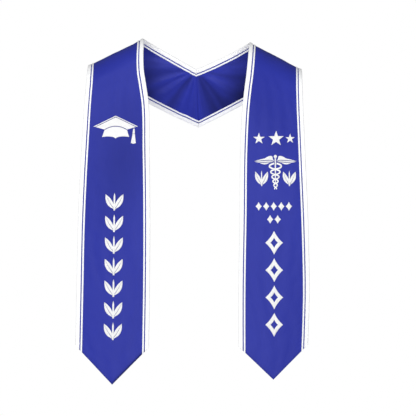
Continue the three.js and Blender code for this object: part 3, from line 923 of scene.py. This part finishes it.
def clothStitches(band, material):  # the hem of the point and the seam at the nape
    bm = bmesh.new()
    first, last = trimWidth / band.width(2), 1 - trimWidth / band.width(2)
    low, high = stitches["seamReach"]
    for face in (1, -1):
        for u, start, end in ((2, first, 0.5), (2, 0.5, last), (-2, low, high)):

            def placeAt(x):
                w = lerp(start, end, x)
                if u < 0:
                    return u + stitches["seamInset"], w
                return u - stitches["hemInset"] / band.fallLength(w), w

            total = (band.surface(u, start) - band.surface(u, end)).length
            seamLine(bm, band, placeAt, total, face * (faceLift - stitches["sink"]))
    piece = keep(bm, band.name + "HemStitches", material)
    return piece


# Materials, as arithmetic on sockets
def feed(tree, entry, value):  # a link from a wire, or a plain value
    if isinstance(value, Wire):
        tree.links.new(value.socket, entry)
    else:
        entry.default_value = value


class Wire:
    def __init__(self, tree, socket):
        self.tree = tree
        self.socket = socket

    def out(self, name):  # another output of the same node
        return Wire(self.tree, self.socket.node.outputs[name])

    def calculate(self, operation, *values):
        node = self.tree.nodes.new("ShaderNodeMath")
        node.operation = operation
        for entry, value in zip(node.inputs, values):
            feed(self.tree, entry, value)
        return Wire(self.tree, node.outputs[0])

    def __add__(self, other):
        return self.calculate("ADD", self, other)

    def __sub__(self, other):
        return self.calculate("SUBTRACT", self, other)

    def __rsub__(self, other):
        return self.calculate("SUBTRACT", other, self)

    def __mul__(self, other):
        return self.calculate("MULTIPLY", self, other)

    def __truediv__(self, other):
        return self.calculate("DIVIDE", self, other)

    def __rtruediv__(self, other):
        return self.calculate("DIVIDE", other, self)

    __radd__, __rmul__ = __add__, __mul__

    def sine(self):
        return self.calculate("SINE", self)

    def floor(self):
        return self.calculate("FLOOR", self)

    def magnitude(self):
        return self.calculate("ABSOLUTE", self)


class Finish:  # a material, or the world, in the making
    def __init__(self, owner):
        owner.use_nodes = True
        self.owner = owner
        self.tree = owner.node_tree
        self.tree.nodes.clear()

    def add(self, kind, values={}, output=0, **settings):
        node = self.tree.nodes.new(kind)
        for key, setting in settings.items():
            setattr(node, key, setting)
        for key, value in values.items():
            feed(self.tree, node.inputs[key], value)
        return Wire(self.tree, node.outputs[output]) if node.outputs else None

    def tone(self):
        return self.add("ShaderNodeAttribute", output="Fac", attribute_name="tone")

    def flatPlace(self):
        uv = self.add("ShaderNodeUVMap", uv_map="flat")
        parts = self.add("ShaderNodeSeparateXYZ", {"Vector": uv})
        return parts, parts.out("Y")

    def vector(self, x, y):
        return self.add("ShaderNodeCombineXYZ", {"X": x, "Y": y})

    def noise(self, place, scale=1.0, detail=2.0, roughness=0.5):
        values = {"Vector": place, "Scale": scale, "Detail": detail, "Roughness": roughness}
        return self.add("ShaderNodeTexNoise", values)

    def blend(self, first, second, share):
        return self.add("ShaderNodeMix", {0: share, 6: first, 7: second}, 2, data_type="RGBA")

    def bump(self, height, strength, distance):
        values = {"Strength": strength, "Distance": distance, "Height": height}
        return self.add("ShaderNodeBump", values)

    def surface(self, colour, roughness, specular, normal=None, sheen=(0, 0.5), sheenTint=(1, 1, 1, 1)):
        values = {
            "Base Color": colour, "Roughness": roughness, "Specular IOR Level": specular,
            "Sheen Weight": sheen[0], "Sheen Roughness": sheen[1], "Sheen Tint": sheenTint,
        }
        if normal:
            values["Normal"] = normal
        shader = self.add("ShaderNodeBsdfPrincipled", values)
        self.add("ShaderNodeOutputMaterial", {"Surface": shader})
        return self.owner


def newFinish(name):
    return Finish(bpy.data.materials.new(name))


satinLook = {
    "colour": (0.013, 0.02, 0.262, 1),
    "light": (0.025, 0.037, 0.362, 1),
    # painted shade: the colour the satin is darkened towards where its painted light is low
    "deep": (0.004, 0.006, 0.055, 1),
    "warp": 0.3 * mm,
    "float": 1.4 * mm,
    "roughness": (0.86, 0.46),  # in deep shade, and how much less in the light
    "relief": (0.32, 0.1 * mm),
    "sheen": (0.05, 0.35),
    "sheenTint": (0.45, 0.52, 1, 1),
}


def satinFinish():
    finish = newFinish("royalBlueSatin")
    look = satinLook
    x, y = finish.flatPlace()
    thread = x / look["warp"]
    warp = (thread * turn).sine().magnitude()
    floats = (y * (turn / look["float"]) + thread.floor() * 2.51).sine()
    slubs = finish.noise(finish.vector(x * 2200, y * 45), detail=3)
    clouds = finish.noise(finish.vector(x * 9, y * 7), detail=3, roughness=0.6)
    # painted light and shade, read from the mesh, darkens the colour towards the painted shade colour
    tone = finish.tone()
    glow = 0.43 + (slubs - 0.5) * 0.8 + (clouds - 0.5) * 0.6 + warp * 0.08
    colour = finish.blend(look["colour"], look["light"], glow)
    rough, smoother = look["roughness"]
    return finish.surface(
        finish.blend(look["deep"], colour, tone),
        rough - tone * smoother + (slubs - 0.5) * 0.25 + floats * 0.03,
        0.15,
        finish.bump(warp * 0.6 + floats * 0.25 + slubs * 0.5, *look["relief"]),
        look["sheen"],
        look["sheenTint"],
    )


whiteLook = {
    "tape": (0.95, 0.95, 0.945, 1),
    "tapeShade": (0.68, 0.69, 0.71, 1),
    "tapeRelief": (0.5, 0.16 * mm),
    "rib": 0.85 * mm,
    "yarn": 0.35 * mm,
    "thread": (0.84, 0.84, 0.83, 1),
    "threadShade": (0.56, 0.57, 0.61, 1),
    "threadRelief": (0.8, 0.2 * mm),
    "strand": 0.42 * mm,
    "strandLength": 3.2 * mm,
}


def tapeFinish():
    finish = newFinish("whiteTape")
    x, y = finish.flatPlace()
    ribs = (y * (pi / whiteLook["rib"])).sine().magnitude()
    yarns = (x * (pi / whiteLook["yarn"])).sine().magnitude()
    soft = finish.noise(finish.vector(x * 260, y * 90), detail=3)
    # painted shade: the grooves between the ribs are coloured darker, with random unevenness
    share = 0.55 + ribs * 0.35 + (soft - 0.5) * 0.5
    colour = finish.blend(whiteLook["tapeShade"], whiteLook["tape"], share)
    # painted light and shade from the mesh darkens the tape towards its shade colour
    return finish.surface(
        finish.blend(whiteLook["tapeShade"], colour, finish.tone()),
        0.5 + (soft - 0.5) * 0.3,
        0.35,
        finish.bump(ribs * 0.8 + yarns * 0.3 + soft * 0.3, *whiteLook["tapeRelief"]),
        sheen=(0.2, 0.4),
    )


def threadFinish():
    finish = newFinish("whiteEmbroidery")
    x, y = finish.flatPlace()
    strand = y / whiteLook["strand"]
    ridge = (strand * pi).sine().magnitude()
    shift = finish.noise(finish.vector(0.0, strand.floor() * 3.7), detail=0)
    rows = ((x / whiteLook["strandLength"] + shift * 2.0) * turn).sine()
    soft = finish.noise(finish.vector(x * 300, y * 1400), detail=2)
    # painted shade: the grooves between the strands are coloured darker, with random unevenness
    share = 0.45 + ridge * 0.55 + (soft - 0.5) * 0.5
    return finish.surface(
        finish.blend(whiteLook["threadShade"], whiteLook["thread"], share),
        0.42 + (soft - 0.5) * 0.3 + rows * 0.05,
        0.4,
        finish.bump(ridge + rows * 0.18 + soft * 0.25, *whiteLook["threadRelief"]),
        sheen=(0.15, 0.4),
    )


def stitchFinish(name, colour, shade):
    finish = newFinish(name)
    place = finish.add("ShaderNodeTexCoord", output="Object")
    fibre = finish.noise(place, scale=2600)
    waves = {"Vector": place, "Scale": 900.0, "Distortion": 1.5}
    strand = finish.add("ShaderNodeTexWave", waves, "Fac", wave_type="BANDS", bands_direction="DIAGONAL")
    # painted shade: the twist grooves of the thread are coloured darker, with random fibres
    colour = finish.blend(shade, colour, 0.3 + strand * 0.5 + fibre * 0.2)
    return finish.surface(colour, 0.5 + (fibre - 0.5) * 0.2, 0.4, finish.bump(strand, 0.3, 0.06 * mm))


# Shade painted into the satin's colour where a soft light would leave it in the folds, as an attribute
# from 0, deep, to 1.
# crest: depth, reach. valleys: angle around the nape, spread, depth, reach. corner: reach, depth.
# patch: fall, across, spread, depth. hemEdge: depth along the inner and the outer slope of the tip.
shades = {
    "left": {
        "crest": (0.42, 0.24),
        "valleys": [(39, 8.5, 0.42, 0.3), (63, 4.5, 0.2, 0.3), (84, 8, 0.2, 0.3), (30, 7, 0.32, 0.05)],
        "corner": (21 * mm, 0.65),
        "patch": (0.3, 0.4, 0.2, 0.24),
        "hemEdge": (0.75, 0.2),
    },
    "right": {
        "crest": (0.62, 0.3),
        "valleys": [(19, 13, 0.47, 0.3), (38, 11, 0.36, 0.3), (80, 9, 0.24, 0.3)],
        "corner": (42 * mm, 0.9),
        "patch": (0.13, 0.4, 0.1, 0.08),
        "hemEdge": (0.2, 0.15),
    },
}
shading = {
    "outside": 0.82,  # painted light: level of all but the inside of the collar, which is painted brighter, at full light
    "hemReach": 7 * mm,
    "nape": (4 * mm, 22 * mm),  # from the nape, where valleys start
    "streakRate": 0.14,  # waves in a degree of fine shades between the folds
    "streakDepth": 0.22,
    "streakStart": (6 * mm, 30 * mm),
    "cornerFall": 50 * mm,
    "besideTape": 0.9,
    "tapeReach": (-5 * mm, 2 * mm),
}


def shadeAt(band, u, w, face):
    shade = shades[band.name]
    # painted light: the inside of the collar starts at full light, the rest lower
    tone = 1.0 if face < 0 and u < 0 else shading["outside"]
    # painted shade along the crest of the shoulder fold
    if face > 0 and u > -0.5:
        uneven = 0.75 + 0.5 * noise(Vector((w * 4, 0, band.seed.x)))
        depth, reach = shade["crest"]
        tone -= depth * bell(u / reach) * uneven
    # painted shade in a patch of the front panel, and a painted shadow along the hem of the point
    if u > 1:
        at, across, spread, depth = shade["patch"]
        tone -= depth * bell((u - 1 - at) / spread) * bell((w - across) / 0.45)
        depth = lerp(*shade["hemEdge"], smooth(w, 0.45, 0.55))
        tone -= depth * bell((2 - u) * band.lengths[-1] / shading["hemReach"])
    # inside of the collar: painted shade in streaks and valleys between the folds, darker towards the
    # corners under the shoulders, and a lighter painted shade beside the tapes
    if face < 0 and u < 0:
        p = band.surface(u, w)
        angle, away = band.aroundNape(p.x * band.sign, p.z)
        angle += 4 * noise(p * 14)
        streak = noise(Vector((angle * shading["streakRate"], away * 9, band.seed.x)))
        streak = (0.15 - streak) * smooth(away, *shading["streakStart"])
        tone -= shading["streakDepth"] * streak
        tone -= smooth(away, *shading["nape"]) * sum(
            depth * bell((angle - at) / spread) * (1 - smooth(away, reach / 2, reach))
            for at, spread, depth, reach in shade["valleys"]
        )
        reach, depth = shade["corner"]
        inCorner = bell(max(band.neckOut - abs(p.x), 0) / reach)
        tone -= depth * inCorner * lerp(0.4, 1, smooth(-p.z, 0, shading["cornerFall"]))
        fromTape = min(w, 1 - w) * drape["shoulderRun"] - trimWidth
        tone = lerp(shading["besideTape"], tone, smooth(fromTape, *shading["tapeReach"]))
    return clamp(tone)


satin = satinFinish()
tapeWhite = tapeFinish()
embroideryWhite = threadFinish()
whiteThread = stitchFinish("whiteThread", (0.82, 0.82, 0.82, 1), (0.45, 0.46, 0.5, 1))
blueThread = stitchFinish("blueThread", (0.03, 0.04, 0.36, 1), (0.01, 0.014, 0.15, 1))
print("finishes made")

emblems = addEmblems(embroideryWhite)
for band in bands.values():
    sheet = satinSheet(band, satin)
    trims = [*emblems[band.name], tapeStitches(band, whiteThread), clothStitches(band, blueThread)]
    for edge in ("neck", "outer"):
        name, node = band.name + edge.title(), f"{band.name}_{edge}"
        trims.append(tape(band, edge, bindingSection(), name + "Binding", [node + "_binding"], tapeWhite))
        for face, word in ((1, "outside"), (-1, "inside")):
            ring, nodes = stripeSection(face), [f"{node}_stripe_{word}"]
            trims.append(tape(band, edge, ring, name + "Stripe" + word.title(), nodes, tapeWhite))


studio = {
    "centre": Vector((21.6 * mm, 0, -252.5 * mm)),  # middle of the picture
    "height": 749 * mm,  # what the picture spans
    "distance": 10,
    "floor": -750 * mm,
    "floorRadius": 3,
    "floorColours": ((0.9, 0.9, 0.9, 1), (0.95, 0.95, 0.95, 1)),
    "closer": 0.988,  # the panels are nearer than the centre
    "backdrop": 1.0,
    "daylight": (0.85, 0.1),  # strength of the white surroundings as a light, in front and behind
}
lamps = [  # name, place, aim, size, watts, whether satin mirrors it
    ("key", (-1.5, -2.9, 1.5), (0, 0, -0.2), 1.8, 46, True),
    ("fill", (0.3, -3.5, -0.8), (0, 0, -0.1), 2.6, 94, True),
    ("back", (0.7, 2.8, -0.3), (0, 0, -0.2), 2.0, 80, False),
]

bm = bmesh.new()
bmesh.ops.create_circle(bm, cap_ends=True, segments=96, radius=studio["floorRadius"])
bmesh.ops.translate(bm, verts=bm.verts, vec=(0, 0, studio["floor"]))
mesh = meshFrom(bm, "floor")
finish = newFinish("paleFloor")
cloud = finish.noise(finish.add("ShaderNodeTexCoord", output="Object"), scale=3, detail=3)
pale = finish.blend(*studio["floorColours"], cloud)
mesh.materials.append(finish.surface(pale, 0.8, 0.2))
added("floor", mesh)
for name, place, aim, size, watts, mirrored in lamps:
    light = bpy.data.lights.new(name, "AREA")
    light.shape, light.size, light.energy = "DISK", size, watts
    lamp = added(name, light)
    lamp.location = place
    lamp.rotation_euler = (Vector(aim) - Vector(place)).to_track_quat("-Z", "Y").to_euler()
    lamp.visible_glossy = mirrored
world = bpy.data.worlds.new("white")
sky = Finish(world)
direction = sky.add("ShaderNodeTexCoord", output="Generated")
behind = sky.add("ShaderNodeSeparateXYZ", {"Vector": direction}, output="Y")
front, back = studio["daylight"]
values = {"Value": behind, "From Min": -1, "To Min": front, "To Max": back}
daylight = sky.add("ShaderNodeMapRange", values)
seen = sky.add("ShaderNodeLightPath", output="Is Camera Ray")
strength = sky.add("ShaderNodeMix", {0: seen, 2: daylight, 3: studio["backdrop"]})
background = sky.add("ShaderNodeBackground", {"Color": (1, 1, 1, 1), "Strength": strength})
sky.add("ShaderNodeOutputWorld", {"Surface": background})
scene.world = world
data = bpy.data.cameras.new("camera")
data.sensor_width = 36
data.lens = data.sensor_width * studio["distance"] / studio["height"] * studio["closer"]
data.clip_end = 60
camera = added("camera", data)
camera.location = studio["centre"] - Vector((0, studio["distance"], 0))
camera.rotation_euler = (pi / 2, 0, 0)
scene.camera = camera
scene.view_settings.view_transform = "Standard"
print("stage, lights and camera set")
